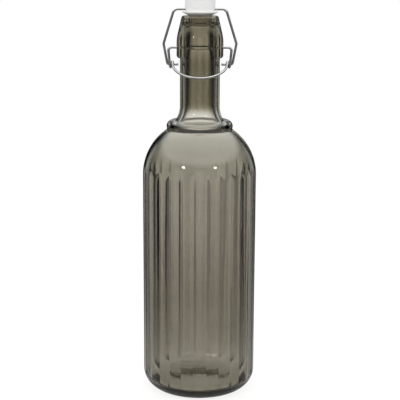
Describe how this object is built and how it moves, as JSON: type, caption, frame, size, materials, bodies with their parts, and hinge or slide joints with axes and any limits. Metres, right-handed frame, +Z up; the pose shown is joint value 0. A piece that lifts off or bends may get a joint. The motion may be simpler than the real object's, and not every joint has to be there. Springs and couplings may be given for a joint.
{
  "type": "swing-top bottle",
  "caption": "Ribbed glass bottle with a domed shoulder, a ring at the foot of the neck, and a wired swing-top stopper with a lever handle.",
  "frame": {"origin": "centre of the bottle's base, on the surface that it stands on", "axes": "+Z up along the bottle's axis, -Y towards the front, where the lever's handle lies, +X to the right seen from the front"},
  "size_m": [0.088, 0.088, 0.3121],
  "materials": {
    "smoked_glass": "smooth pressed glass, smoky grey-brown, clear",
    "white_plastic": "white moulded plastic, soft gloss",
    "gasket_rubber": "translucent grey-white silicone",
    "steel_wire": "bright drawn steel wire"
  },
  "bodies": {
    "bottle": {"glass_bottle": "smoked_glass"},
    "lever": {"lever_wire": "steel_wire"},
    "bail": {"bail_wire": "steel_wire"},
    "stopper": {"stopper": "white_plastic", "gasket": "gasket_rubber"}
  },
  "joints": [
    {"name": "lever_pivot", "type": "hinge", "parent": "bottle", "child": "lever", "pos_m": [0, 0, 0.27002], "axis": [-1, 0, 0], "range_deg": [0, 120]},
    {"name": "bail_pivot", "type": "hinge", "parent": "lever", "child": "bail", "pos_m": [0, 0.0019, 0.25702], "axis": [-1, 0, 0], "range_deg": [-87, 0]},
    {"name": "stopper_pivot", "type": "hinge", "parent": "bail", "child": "stopper", "pos_m": [0, 0, 0.29877], "axis": [-1, 0, 0], "range_deg": [-33, 0]}
  ],
  "couplings": [
    {"joint": "bail_pivot", "follows": "lever_pivot", "ratio": -0.725},
    {"joint": "stopper_pivot", "follows": "lever_pivot", "ratio": -0.275}
  ]
}
